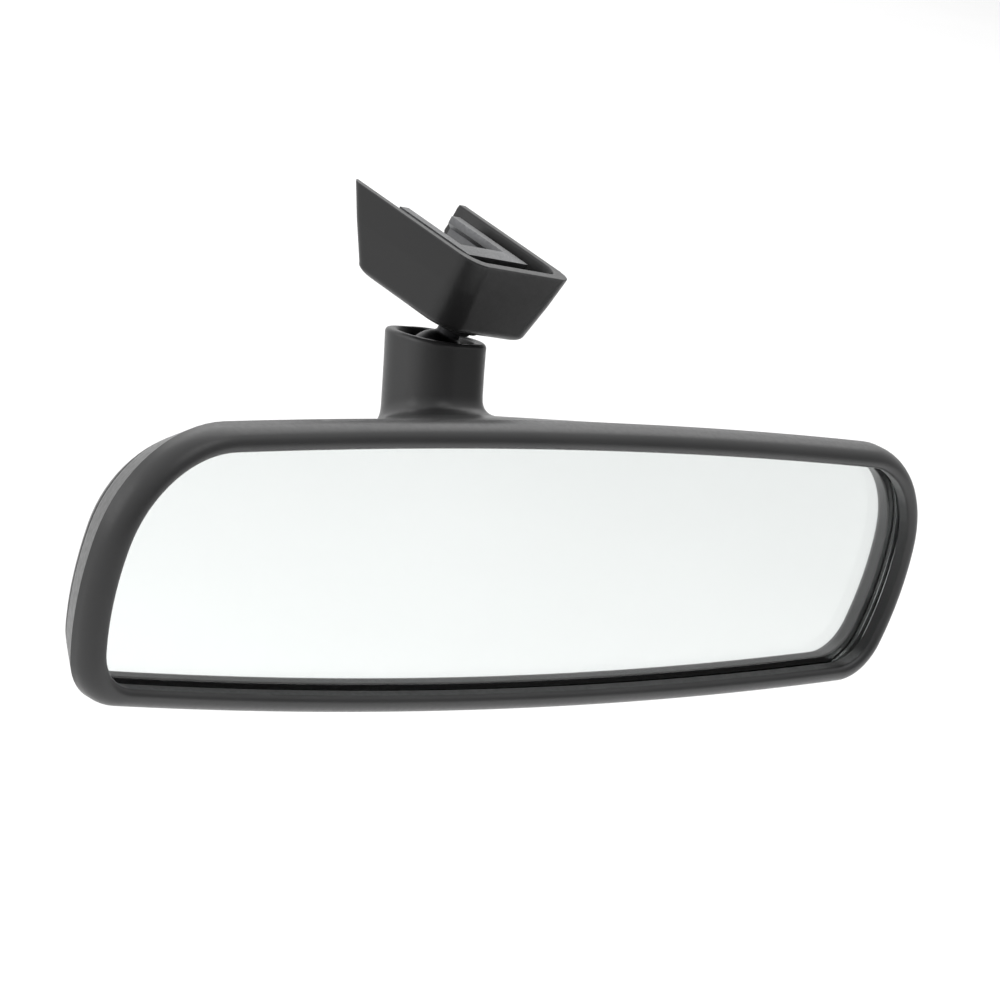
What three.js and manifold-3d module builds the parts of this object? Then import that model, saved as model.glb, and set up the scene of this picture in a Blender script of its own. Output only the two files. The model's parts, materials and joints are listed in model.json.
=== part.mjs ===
// Interior rearview mirror: a mirror head with its neck, on a ball stud under a windscreen mount.
// Millimetres. +X runs along the mirror, -Y is the way the glass faces, +Z is up.
// The origin is the middle of the seat that bears on the windscreen.
import * as THREE from 'three';
import * as BufferGeometryUtils from 'three/addons/utils/BufferGeometryUtils.js';
import Module from 'manifold-3d';

const wasm = await Module();
wasm.setup();

// ---- driving dimensions -------------------------------------------------------------------
const GAP = 0.3; // clearance between pieces that touch on the real object
const deg = THREE.MathUtils.degToRad;

// Window that shows the glass: five arcs on each half.
const WINDOW = { width: 240, height: 54.3, topR: 2110, sideR: 57, bottomR: 1610 };
const SIDE_MID_Z = -1.7; // height of the widest point
const TOP_CORNER_R = 22;
const BOTTOM_CORNER_R = 10.5;
const BOTTOM_CORNER_GROWTH = 0.3; // how fast that radius grows with an outward offset

// Housing
const RIM = 4.6; // rim, from the window to the outer outline
const BEAD_IN_R = 1.4; // inner round of the rim's bead
const BEAD_OUT_DEPTH = 4.4; // outer round of the bead, front to back
const BEAD_END_Y = BEAD_OUT_DEPTH - BEAD_IN_R;
const SLOPE_START = { outer: 4.6, inner: 5.5 }; // the side wall is straight up to here
const WALL = 2.3;
const REAR_DEPTH = { middle: 50, end: 12 };
const REAR_RUN = { middle: 15.7, end: 8 }; // how far in from the outline the rear slope runs
const BULGE_HALF_WIDTH = 38;
const SPINE_HALF = 95; // the rear closes on a line of this half length
const PARTING_Y = 12;
const TONGUE = { out: 2.65, inner: 3.6, front: 9.2, back: 16 };

// Glass stack, front faces measured from the window's front edge
const GLASS = { front: 2.4, thick: 3.0, overlap: 1.9 };
const COATING = { front: 5.7, thick: 0.2, overlap: 1.5 };
const PAD = { front: 6.2, thick: 1.5, overlap: 0.2 };
const CARRIER = { front: 8.0, thick: 2.2, overlap: -4.8 };
const CARRIER_SCREW = { x: 80, z: 9, headR: 2.6, headH: 1.1, shankR: 1.2, length: 6 };
const BOSS_R = 3.4;

// Neck and ball joint. Heights along the neck are measured from the ball's centre.
const BALL = new THREE.Vector3(0, 46.6, 30.4);
const NECK_LEAN = deg(16.6);
const MOUTH_TILT = deg(6.7);
const NECK = { halfX: 10.2, halfY: 9.25, corner: 7, mouth: 5.2, tubeR: 9.6, foot: -21.5 };
const BALL_R = 6.5;
const SLEEVE = { inner: 6.8, outer: 8.0, top: 3.6, foot: -21.2 };
const BORE_R = SLEEVE.outer + GAP;
const FRICTION_PAD = { inner: 6.8, outer: 7.9, from: 146 };
const CAP = { seatR: 8.2, r: 6.3, foot: -11.2, pegR: 3.0, pegFoot: -13 };
const SPRING = { meanR: 4.6, wireR: 0.55, top: -11.6, foot: -18.2, turns: 3.5 };
const PLUG = { r: 6.4, top: -18.6, foot: -21.2, pegR: 3.0, pegTop: -16.6 };
const EAR = { x: 14, r: 3.3 };
const RETAINER = { top: -21.9, thick: 1.5 };
const EAR_SCREW = { headR: 2.8, headH: 1.6, shankR: 1.2, length: 9 };

// Windscreen mount, in its own frame: x across, y towards the open end, z towards the glass
const MOUNT_TURN = new THREE.Euler(deg(10.2), deg(5.6), deg(6.9), 'ZXY');
const STUD_Y = -7.7;
const BALL_DROP = 27; // rim plane down to the ball's centre
const BOOT = { halfX: 19.3, front: -18.3, back: 19.6, depth: 16.9, wall: 2.2, floorExtra: 1.9 };
const SHORT_SIDE_BACK = 15.8; // the right wall ends here, before the left one
const BOOT_EDGE_DEPTH = 14.9; // where the side walls turn into the underside
const BOOT_BOSS = { topR: 7, footR: 5.4, foot: -18.2, recessR: 3.9, recessTop: -16.8 };
const STUD = { stemR: 2.6, flangeR: 3.6, flangeTop: -17.1, flangeFoot: -18.1, top: -5.4 };
const DUST_RING = { inner: 2.9, outer: 4.2, top: -18.4, foot: -19.2 };
const CHANNEL = { halfX: 11.4, front: -10.4, back: 10.5, floor: -12.2, floorTop: -10.5, top: -1.0 };
const RAIL = { wall: 1.6, lip: 3.2, lipThick: 1.6 };
const BRIDGE_LENGTH = 5;
const SEAT = new THREE.Vector3(0, CHANNEL.front + BRIDGE_LENGTH / 2, CHANNEL.top);
const NUT = { acrossR: 4.6, height: 3.2 };
const WASHER = { r: 4.6, height: 0.7 };
const CLIP = { width: 9, thick: 0.8, front: -1, back: 10 };
const CLIP_SCREW = { y: 1.8, headR: 2.2, headH: 1.1, shankR: 1.0 };

// ---- solid helpers ------------------------------------------------------------------------
function toSolid(geometry) {
  let g = geometry.clone();
  for (const name of Object.keys(g.attributes)) if (name !== 'position') g.deleteAttribute(name);
  g = BufferGeometryUtils.mergeVertices(g, 1e-5);
  return new wasm.Manifold(
    new wasm.Mesh({
      numProp: 3,
      vertProperties: new Float32Array(g.attributes.position.array),
      triVerts: new Uint32Array(g.index.array),
    }),
  );
}

function toGeometry(solid) {
  const mesh = solid.getMesh();
  const g = new THREE.BufferGeometry();
  g.setAttribute('position', new THREE.BufferAttribute(new Float32Array(mesh.vertProperties), 3));
  g.setIndex(new THREE.BufferAttribute(new Uint32Array(mesh.triVerts), 1));
  g.computeVertexNormals();
  return g;
}

const join = (...solids) => solids.reduce((a, b) => a.add(b));
const cut = (body, ...tools) => tools.reduce((a, b) => a.subtract(b), body);

function signedVolume(points, index) {
  let sum = 0;
  for (let i = 0; i < index.length; i += 3) {
    const [a, b, c] = [points[index[i]], points[index[i + 1]], points[index[i + 2]]];
    sum += a.dot(new THREE.Vector3().crossVectors(b, c));
  }
  return sum;
}

// Triangles that close a ring with a fan about its middle, whose point is added to points.
function fanCap(points, start, n) {
  const ring = points.slice(start, start + n);
  const middle = ring.reduce((s, p) => s.add(p), new THREE.Vector3()).divideScalar(n);
  const m = points.push(middle) - 1;
  return ring.flatMap((_, i) => [start + i, start + ((i + 1) % n), m]);
}

// Triangles that close a ring that is alike left and right by a strip from its top to its foot.
function stripCap(points, start, n) {
  const index = [];
  for (const first of [0, n / 2]) {
    for (let i = 0; i < n / 4; i++) {
      const [a, b] = [first + i, first + i + 1];
      const [c, d] = [first + n / 2 - i - 1, (first + n / 2 - i) % n];
      if (b < c) index.push(a, b, c);
      if (b <= c) index.push(a, c, d);
    }
  }
  return index.map((i) => start + i);
}

// A closed solid through a row of rings with the same number of points, capped at both ends.
function loft(rings, endCap = fanCap) {
  const n = rings[0].length;
  const points = rings.flat();
  const index = [];
  for (let k = 0; k + 1 < rings.length; k++) {
    for (let i = 0; i < n; i++) {
      const j = (i + 1) % n;
      const [a, b, c, d] = [k * n + i, k * n + j, (k + 1) * n + j, (k + 1) * n + i];
      index.push(a, b, c, a, c, d);
    }
  }
  index.push(...fanCap(points, 0, n).reverse());
  index.push(...endCap(points, (rings.length - 1) * n, n));
  if (signedVolume(points, index) < 0) index.reverse();
  const g = new THREE.BufferGeometry();
  g.setAttribute('position', new THREE.BufferAttribute(new Float32Array(points.flatMap((p) => p.toArray())), 3));
  g.setIndex(index);
  return toSolid(g);
}

// Turned piece: profile points are [radius, height], and the axis is +Z.
function turned(profile, sides = 24) {
  const g = new THREE.LatheGeometry(profile.map(([r, h]) => new THREE.Vector2(r, h)), sides);
  g.rotateX(Math.PI / 2);
  const solid = toSolid(g);
  return solid.volume() < 0 ? toSolid(flipped(g)) : solid;
}

function flipped(g) {
  const copy = g.clone();
  copy.index.array.reverse();
  return copy;
}

const rod = (r, low, high, sides = 20) => turned([[0, low], [r, low], [r, high], [0, high]], sides);

function block([x0, x1], [y0, y1], [z0, z1]) {
  const g = new THREE.BoxGeometry(x1 - x0, y1 - y0, z1 - z0);
  g.translate((x0 + x1) / 2, (y0 + y1) / 2, (z0 + z1) / 2);
  return toSolid(g);
}

// Points on an arc about the axis, as [radius, height], by angle from the +height direction.
function sphereArc(r, from, to, steps) {
  return Array.from({ length: steps + 1 }, (_, i) => {
    const a = deg(from + ((to - from) * i) / steps);
    return [r * Math.sin(a), r * Math.cos(a)];
  });
}

const moved = (solid, [x, y, z]) => solid.translate([x, y, z]);
// A solid modelled on +Z, turned to run along +Y (its top goes to the back).
const alongY = (solid) => solid.rotate([-90, 0, 0]);

// ---- window outline -----------------------------------------------------------------------
function circleMeeting(ca, ra, cb, rb) {
  const d = new THREE.Vector2().subVectors(cb, ca);
  const length = d.length();
  const along = (ra * ra - rb * rb + length * length) / (2 * length);
  const across = Math.sqrt(ra * ra - along * along);
  const e = d.divideScalar(length);
  const ends = [1, -1].map(
    (s) => new THREE.Vector2(ca.x + along * e.x - s * across * e.y, ca.y + along * e.y + s * across * e.x),
  );
  return ends[0].x > ends[1].x ? ends[0] : ends[1];
}

// The five arcs of the right half, moved out by offset.
function outlineArcs(offset) {
  const { width, height, topR, sideR, bottomR } = WINDOW;
  const [topArc, sideArc, bottomArc] = [topR + offset, sideR + offset, bottomR + offset];
  const upperR = TOP_CORNER_R + offset;
  const lowerR = BOTTOM_CORNER_R + BOTTOM_CORNER_GROWTH * offset;
  const top = new THREE.Vector2(0, height / 2 - topR);
  const side = new THREE.Vector2(width / 2 - sideR, SIDE_MID_Z);
  const bottom = new THREE.Vector2(0, bottomR - height / 2);
  const upper = circleMeeting(top, topArc - upperR, side, sideArc - upperR);
  const lower = circleMeeting(bottom, bottomArc - lowerR, side, sideArc - lowerR);
  const angle = (from, to) => Math.atan2(to.y - from.y, to.x - from.x);
  const a = angle(top, upper);
  const b = angle(side, upper);
  const c = angle(side, lower);
  const d = angle(bottom, lower);
  return [
    { centre: top, r: topArc, from: Math.PI / 2, to: a, steps: 7 },
    { centre: upper, r: upperR, from: a, to: b, steps: 4 },
    { centre: side, r: sideArc, from: b, to: c, steps: 4 },
    { centre: lower, r: lowerR, from: c, to: d, steps: 4 },
    { centre: bottom, r: bottomArc, from: d, to: -Math.PI / 2, steps: 7 },
  ];
}

// The window's outline, moved out by offset, as a closed ring in the plane y.
function outline(offset, y) {
  const half = [];
  for (const { centre, r, from, to, steps } of outlineArcs(offset)) {
    for (let i = 0; i < steps; i++) {
      const a = from + ((to - from) * i) / steps;
      half.push([centre.x + r * Math.cos(a), centre.y + r * Math.sin(a)]);
    }
  }
  half[0][0] = 0;
  const foot = [0, -WINDOW.height / 2 - offset];
  const right = [...half, foot];
  const left = right.slice(1, -1).reverse().map(([x, z]) => [-x, z]);
  return [...right, ...left].map(([x, z]) => new THREE.Vector3(x, y, z));
}

function plate({ front, thick, overlap }) {
  return loft([outline(overlap, front), outline(overlap, front + thick)]);
}

// ---- housing ------------------------------------------------------------------------------
const bulge = (x) => Math.exp(-((x / BULGE_HALF_WIDTH) ** 2));
const between = ({ middle, end }, x) => end + (middle - end) * bulge(x);
const levelOff = (t) => t / (1 + t ** 6) ** (1 / 6);

// Rings of the rear slope, from the end of the straight wall in to the spine.
function rearRings(offset, wall) {
  const startY = wall > 0 ? SLOPE_START.inner : SLOPE_START.outer;
  const start = outline(offset, startY);
  const shares = [0.05, 0.12, 0.2, 0.3, 0.42, 0.56, 0.74, 0.92];
  return shares.map((share) =>
    start.map((p) => {
      const spine = new THREE.Vector3(THREE.MathUtils.clamp(p.x, -SPINE_HALF, SPINE_HALF), p.y, 0);
      const q = p.clone().lerp(spine, share);
      const depth = between(REAR_DEPTH, q.x) + SLOPE_START.outer - wall - startY;
      q.y = startY + depth * levelOff((share * p.distanceTo(spine)) / between(REAR_RUN, q.x));
      return q;
    }),
  );
}

function outerBody() {
  const rings = [outline(-0.6, 0)];
  for (let i = 0; i <= 4; i++) {
    const a = (i / 4) * (Math.PI / 2);
    rings.push(outline(BEAD_IN_R * (1 - Math.cos(a)), -BEAD_IN_R * Math.sin(a)));
  }
  for (let i = 1; i <= 5; i++) {
    const a = (i / 5) * (Math.PI / 2);
    const out = BEAD_IN_R + (RIM - BEAD_IN_R) * Math.sin(a);
    rings.push(outline(out, BEAD_END_Y - BEAD_OUT_DEPTH * Math.cos(a)));
  }
  return loft([...rings, outline(RIM, SLOPE_START.outer), ...rearRings(RIM, 0)], stripCap);
}

// Everything inside a skin of the given thickness, with no window.
function innerBody(wall) {
  const pocket = outline(RIM - wall, GLASS.front - GAP);
  const wallEnd = outline(RIM - wall, SLOPE_START.inner);
  return loft([pocket, wallEnd, ...rearRings(RIM - wall, wall)], stripCap);
}

const windowCut = () => loft([outline(0.06, -5), outline(0.06, GLASS.front)]);
const slab = (y0, y1) => block([-150, 150], [y0, y1], [-60, 60]);

// Places a solid modelled on +Z, with the ball's centre at its origin, along the neck.
function onNeck(solid) {
  return solid.rotate([-THREE.MathUtils.radToDeg(NECK_LEAN), 0, 0]).translate(BALL.toArray());
}

function roundedSection(halfX, halfY, corner, z) {
  const ring = [];
  const stepsPerCorner = 6;
  for (const [sx, sy, start] of [[1, 1, 0], [-1, 1, 90], [-1, -1, 180], [1, -1, 270]]) {
    for (let i = 0; i <= stepsPerCorner; i++) {
      const a = deg(start + (90 * i) / stepsPerCorner);
      const x = sx * (halfX - corner) + corner * Math.cos(a);
      ring.push(new THREE.Vector3(x, sy * (halfY - corner) + corner * Math.sin(a), z));
    }
  }
  return ring;
}

function neckBody() {
  const stations = [[-17, 5.2], [-14, 3.0], [-12, 1.3], [-9.8, 0.3], [-7.5, 0], [2, 0], [12, 0.3]];
  const { halfX, halfY, corner } = NECK;
  const rings = stations.map(([s, grow]) => roundedSection(halfX + grow, halfY + grow, corner + grow, s));
  const mouthCut = block([-30, 30], [-30, 30], [NECK.mouth, 40]);
  const tilt = THREE.MathUtils.radToDeg(NECK_LEAN - MOUTH_TILT);
  const turn = mouthCut.translate([0, 0, -NECK.mouth]).rotate([tilt, 0, 0]).translate([0, 0, NECK.mouth]);
  return onNeck(cut(loft(rings), turn));
}

const carrierCorners = [[-1, 1], [1, 1], [1, -1], [-1, -1]].map(([sx, sz]) => [
  sx * CARRIER_SCREW.x,
  sz * CARRIER_SCREW.z,
]);

function bosses(outside) {
  const front = CARRIER.front + CARRIER.thick + GAP;
  const posts = carrierCorners.map(([x, z]) => moved(alongY(rod(BOSS_R, front, 30)), [x, 0, z]));
  const tube = onNeck(rod(NECK.tubeR, NECK.foot, -2, 28));
  const ears = [-1, 1].map((s) => onNeck(moved(rod(EAR.r, NECK.foot, -6), [s * EAR.x, 0, 0])));
  return join(tube, ...posts, ...ears).intersect(outside);
}

function screwHoles() {
  const front = CARRIER.front + CARRIER.thick;
  const r = CARRIER_SCREW.shankR + GAP;
  const posts = carrierCorners.map(([x, z]) => moved(alongY(rod(r, front, front + 4.3, 12)), [x, 0, z]));
  const ears = [-1, 1].map((s) =>
    onNeck(moved(rod(EAR_SCREW.shankR + GAP, NECK.foot - 1, NECK.foot + 8, 12), [s * EAR.x, 0, 0])),
  );
  return [...posts, ...ears];
}

function frontFrame(outside) {
  const shell = cut(outside, innerBody(WALL), windowCut());
  return shell.intersect(slab(-10, PARTING_Y - GAP / 2));
}

function rearCover(outside) {
  const back = slab(PARTING_Y + GAP / 2, 80);
  const withNeck = join(outside.intersect(back), neckBody());
  const hollow = cut(withNeck, innerBody(WALL));
  const tongueFront = innerBody(TONGUE.out).intersect(slab(TONGUE.front, PARTING_Y + 1));
  const tongueBack = innerBody(WALL - 0.3).intersect(slab(PARTING_Y + GAP / 2, TONGUE.back));
  const tongue = cut(join(tongueFront, tongueBack), innerBody(TONGUE.inner));
  const body = join(hollow, tongue, bosses(join(outside.intersect(slab(8, 80)), neckBody())));
  return cut(body, onNeck(rod(BORE_R, -40, 30, 28)), ...screwHoles());
}

function glassCarrier() {
  const holes = carrierCorners.map(([x, z]) => {
    const tool = join(
      rod(CARRIER_SCREW.headR + GAP, CARRIER.front - 1, CARRIER.front + CARRIER_SCREW.headH + GAP, 20),
      rod(CARRIER_SCREW.shankR + GAP, CARRIER.front - 1, CARRIER.front + CARRIER.thick + 1, 12),
    );
    return moved(alongY(tool), [x, 0, z]);
  });
  return cut(plate(CARRIER), ...holes);
}

// Screw on +Z with its head's top at height 0 and its shank going up.
function screw({ headR, headH, shankR, length }) {
  return turned([[0, 0], [headR, 0], [headR, headH], [shankR, headH], [shankR, length], [0, length]], 12);
}

// ---- ball joint ---------------------------------------------------------------------------
function socketSleeve() {
  const { inner, outer, top, foot } = SLEEVE;
  const lipAngle = THREE.MathUtils.radToDeg(Math.acos(top / inner));
  const hold = sphereArc(inner, lipAngle, 90, 3);
  return turned([[inner, foot], [outer, foot], [outer, top], ...hold, [inner, foot]], 28);
}

function frictionPad() {
  const { inner, outer, from } = FRICTION_PAD;
  const under = sphereArc(outer, 180, from, 3);
  under[0][0] = 0;
  const over = sphereArc(inner, from, 180, 3);
  over.at(-1)[0] = 0;
  return turned([...under, ...over], 20);
}

function springCap() {
  const rim = 180 - THREE.MathUtils.radToDeg(Math.asin(CAP.r / CAP.seatR));
  const seat = sphereArc(CAP.seatR, rim, 180, 4);
  seat.at(-1)[0] = 0;
  return turned([[0, CAP.pegFoot], [CAP.pegR, CAP.pegFoot], [CAP.pegR, CAP.foot], [CAP.r, CAP.foot], ...seat], 20);
}

function clampSpring() {
  class Coil extends THREE.Curve {
    getPoint(t, target = new THREE.Vector3()) {
      const a = t * SPRING.turns * 2 * Math.PI;
      const z = THREE.MathUtils.lerp(SPRING.foot + SPRING.wireR, SPRING.top - SPRING.wireR, t);
      return target.set(SPRING.meanR * Math.cos(a), SPRING.meanR * Math.sin(a), z);
    }
  }
  const wire = new THREE.Shape();
  wire.absarc(0, 0, SPRING.wireR, 0, 2 * Math.PI);
  const options = { steps: SPRING.turns * 14, curveSegments: 3, extrudePath: new Coil() };
  return toSolid(new THREE.ExtrudeGeometry(wire, options));
}

function sleevePlug() {
  const { r, top, foot, pegR, pegTop } = PLUG;
  return turned([[0, foot], [r, foot], [r, top], [pegR, top], [pegR, pegTop], [0, pegTop]], 20);
}

function retainerPlate() {
  const shape = new THREE.Shape();
  const end = EAR.x;
  const half = 5;
  shape.absarc(end, 0, half, -Math.PI / 2, Math.PI / 2);
  shape.absarc(-end, 0, half, Math.PI / 2, (3 * Math.PI) / 2);
  shape.closePath();
  for (const [x, r] of [[-end, EAR_SCREW.shankR + GAP], [end, EAR_SCREW.shankR + GAP], [0, 2.2]]) {
    const hole = new THREE.Path();
    hole.absarc(x, 0, r, 0, 2 * Math.PI, true);
    shape.holes.push(hole);
  }
  const g = new THREE.ExtrudeGeometry(shape, { depth: RETAINER.thick, bevelEnabled: false, curveSegments: 6 });
  g.translate(0, 0, RETAINER.top - RETAINER.thick);
  return toSolid(g);
}

// ---- windscreen mount ---------------------------------------------------------------------
// Outline of the boot at one height: square at the open end, rounded at the closed end.
function bootRing(halfX, front, back, corner, z) {
  const ring = [];
  const steps = 6;
  const tip = 2.5;
  const corners = [
    [halfX - tip, back - tip, tip, 0],
    [-halfX + tip, back - tip, tip, 90],
    [-halfX + corner, front + corner, corner, 180],
    [halfX - corner, front + corner, corner, 270],
  ];
  for (const [cx, cy, r, start] of corners) {
    for (let i = 0; i <= steps; i++) {
      const a = deg(start + (90 * i) / steps);
      ring.push(new THREE.Vector3(cx + r * Math.cos(a), cy + r * Math.sin(a), z));
    }
  }
  return ring;
}

function bootBody(inset) {
  const { halfX, front, depth } = BOOT;
  const back = BOOT.back + (inset > 0 ? 4 : 0); // the hollow runs out through the open end
  const foot = -depth + (inset > 0 ? inset + BOOT.floorExtra : 0);
  const top = inset > 0 ? 3 : 0;
  return loft([
    bootRing(halfX - inset, front + inset, back, 5, top),
    bootRing(halfX - inset - 1, front + inset + 0.4, back - 4, 5.4, -7),
    bootRing(halfX - inset - 2.6, front + inset + 1, back - 8.6, 6, -BOOT_EDGE_DEPTH + inset),
    bootRing(halfX - inset - 3.8, front + inset + 2, back - 10.6, 6, foot + 0.6),
    bootRing(halfX - inset - 6, front + inset + 4, back - 12.6, 5, foot),
  ]);
}

function mountCover() {
  const bossRise = -BOOT.depth + 1;
  const { foot, footR, topR } = BOOT_BOSS;
  const boss = turned([[0, foot], [footR, foot], [topR, bossRise], [0, bossRise]]);
  const openEnd = block([-CHANNEL.halfX - GAP, CHANNEL.halfX + GAP], [BOOT.back - 13, 40], [CHANNEL.floor - GAP, 10]);
  const shortSide = block([5, 40], [SHORT_SIDE_BACK, 40], [-40, 10]);
  const hole = moved(rod(STUD.stemR + GAP, -30, 10), [0, STUD_Y, 0]);
  const body = join(bootBody(0), moved(boss, [0, STUD_Y, 0]));
  const recess = moved(rod(BOOT_BOSS.recessR, -30, BOOT_BOSS.recessTop), [0, STUD_Y, 0]);
  return cut(body, bootBody(BOOT.wall), openEnd, shortSide, hole, recess);
}

function mountChannel() {
  const { halfX, front, back, floor, floorTop, top } = CHANNEL;
  const shape = new THREE.Shape();
  const inside = halfX - RAIL.wall;
  const lip = halfX - RAIL.lip;
  const right = [
    [inside - 0.2, floor], [halfX, floor + 2.0], [halfX, top], [lip, top],
    [lip, top - RAIL.lipThick], [inside, top - RAIL.lipThick - 1.2], [inside, floorTop],
  ];
  const left = right.map(([x, z]) => [-x, z]).reverse();
  [...right, ...left].forEach(([x, z], i) => (i ? shape.lineTo(x, z) : shape.moveTo(x, z)));
  const g = new THREE.ExtrudeGeometry(shape, { depth: back - front, bevelEnabled: false });
  g.rotateX(Math.PI / 2);
  g.translate(0, back, 0);
  const bridge = block([-inside - 0.5, inside + 0.5], [front, front + BRIDGE_LENGTH], [top - 3, top]);
  const holes = [
    moved(rod(STUD.stemR + GAP, -30, -5), [0, STUD_Y, 0]),
    moved(rod(CLIP_SCREW.shankR + GAP, -30, 0, 12), [0, CLIP_SCREW.y, 0]),
  ];
  return cut(join(toSolid(g), bridge), ...holes);
}

function ballStud() {
  const { stemR, flangeR, flangeTop, flangeFoot, top } = STUD;
  const start = THREE.MathUtils.radToDeg(Math.asin(stemR / BALL_R));
  const ball = sphereArc(BALL_R, 180, start, 10).map(([r, z]) => [r, z - BALL_DROP]);
  ball[0][0] = 0;
  const stem = [[stemR, flangeFoot], [flangeR, flangeFoot], [flangeR, flangeTop], [stemR, flangeTop]];
  return turned([...ball, ...stem, [stemR, top - 0.5], [stemR - 0.5, top], [0, top]], 24);
}

function studNut() {
  const low = CHANNEL.floorTop + GAP + WASHER.height + GAP;
  return cut(rod(NUT.acrossR, low, low + NUT.height, 6), rod(STUD.stemR + GAP, -30, 0));
}

function lockWasher() {
  const low = CHANNEL.floorTop + GAP;
  return cut(rod(WASHER.r, low, low + WASHER.height), rod(STUD.stemR + GAP, -30, 0));
}

function dustRing() {
  const { inner, outer, top, foot } = DUST_RING;
  return turned([[inner, foot], [outer, foot], [outer, top], [inner, top], [inner, foot]]);
}

function springClip() {
  const { width, thick, front, back } = CLIP;
  const low = CHANNEL.floorTop + GAP;
  const shape = new THREE.Shape();
  shape.moveTo(front, low);
  shape.lineTo(front + 5.6, low);
  shape.quadraticCurveTo(front + 8.4, low + 3.6, back, low + 2.6);
  shape.lineTo(back, low + 2.6 + thick);
  shape.quadraticCurveTo(front + 8.0, low + 4.6, front + 5.2, low + thick);
  shape.lineTo(front, low + thick);
  const g = new THREE.ExtrudeGeometry(shape, { depth: width, bevelEnabled: false, curveSegments: 6 });
  g.rotateX(Math.PI / 2);
  g.rotateZ(Math.PI / 2);
  g.translate(width / 2, 0, 0);
  const box = new THREE.Box3().setFromBufferAttribute(g.attributes.position);
  g.translate(-(box.min.x + box.max.x) / 2, 0, 0);
  return cut(toSolid(g), moved(rod(CLIP_SCREW.shankR + GAP, -30, 0, 12), [0, CLIP_SCREW.y, 0]));
}

function clipScrew() {
  const under = CHANNEL.floorTop + GAP + CLIP.thick + GAP;
  const { headR, headH, shankR } = CLIP_SCREW;
  const foot = CHANNEL.floor + 0.3;
  const top = under + headH;
  return turned([[0, foot], [shankR, foot], [shankR, under], [headR, under], [headR, top], [0, top]], 12);
}

// ---- assembly -----------------------------------------------------------------------------
const finish = (color, roughness, metalness = 0) => new THREE.MeshStandardMaterial({ color, roughness, metalness });
const BLACK = finish(0x2b2b2c, 0.55);
const DARK = finish(0x232324, 0.6);
const STEEL = finish(0x9a9c9f, 0.35, 1);
const BLACK_STEEL = finish(0x2a2b2c, 0.4, 1);
const ZINC = finish(0xb4b6b8, 0.4, 1);
const NYLON = finish(0xd6d3c8, 0.5);
const RUBBER = finish(0x161616, 0.85);
const FOAM = finish(0x3a3a3b, 0.95);
const SILVER = finish(0xf2f3f4, 0.03, 1);
const CLEAR = finish(0xe8f0ee, 0.02);

function add(group, name, solid, material) {
  const mesh = new THREE.Mesh(toGeometry(solid), material);
  mesh.name = name;
  group.add(mesh);
}

function buildHead(head) {
  const outside = outerBody();
  add(head, 'front_frame', frontFrame(outside), BLACK);
  add(head, 'rear_cover', rearCover(outside), BLACK);
  add(head, 'mirror_glass', plate(GLASS), CLEAR);
  add(head, 'mirror_coating', plate(COATING), SILVER);
  add(head, 'backing_pad', plate(PAD), FOAM);
  add(head, 'glass_carrier', glassCarrier(), DARK);
  carrierCorners.forEach(([x, z], i) => {
    const place = [x, CARRIER.front + 0.05, z];
    add(head, `carrier_screw_${i + 1}`, moved(alongY(screw(CARRIER_SCREW)), place), STEEL);
  });
  add(head, 'socket_sleeve', onNeck(socketSleeve()), BLACK_STEEL);
  add(head, 'spring_cap', onNeck(springCap()), NYLON);
  add(head, 'clamp_spring', onNeck(clampSpring()), STEEL);
  add(head, 'sleeve_plug', onNeck(sleevePlug()), ZINC);
  add(head, 'retainer_plate', onNeck(retainerPlate()), STEEL);
  for (const [side, s] of [['left', -1], ['right', 1]]) {
    const place = [s * EAR.x, 0, RETAINER.top - RETAINER.thick - GAP - EAR_SCREW.headH];
    add(head, `retainer_screw_${side}`, onNeck(moved(screw(EAR_SCREW), place)), STEEL);
  }
  add(head, 'friction_pad', onNeck(frictionPad()), NYLON);
}

function buildMount(mount) {
  mount.rotation.copy(MOUNT_TURN);
  const ballInMount = new THREE.Vector3(0, STUD_Y, -BALL_DROP).applyEuler(MOUNT_TURN);
  mount.position.copy(BALL).sub(ballInMount);
  const onStud = (solid) => moved(solid, [0, STUD_Y, 0]);
  add(mount, 'mount_cover', mountCover(), DARK);
  add(mount, 'mount_channel', mountChannel(), ZINC);
  add(mount, 'spring_clip', springClip(), STEEL);
  add(mount, 'clip_screw', moved(clipScrew(), [0, CLIP_SCREW.y, 0]), ZINC);
  add(mount, 'ball_stud', onStud(ballStud()), BLACK_STEEL);
  add(mount, 'lock_washer', onStud(lockWasher()), STEEL);
  add(mount, 'stud_nut', onStud(studNut()), ZINC);
  add(mount, 'dust_ring', onStud(dustRing()), RUBBER);
}

const mirror = new THREE.Group();
const head = new THREE.Group();
const mount = new THREE.Group();
mirror.add(head, mount);
buildHead(head);
buildMount(mount);
const seatPoint = SEAT.clone().applyEuler(MOUNT_TURN).add(mount.position);
mirror.position.copy(seatPoint).negate();

export default mirror;
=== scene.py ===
"""Interior rearview mirror: fine meshes, materials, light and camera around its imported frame.

Shapes are worked out in millimetres, in one of two local frames, and put in place in metres:
the head's frame has its origin in the middle of the window's front plane, and the mount's frame
has x across the mount, y towards its open end and z towards the windscreen.
"""

import json
import math

import bmesh
import bpy
import numpy as np
from mathutils import Matrix, Vector
from mathutils.bvhtree import BVHTree


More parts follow.
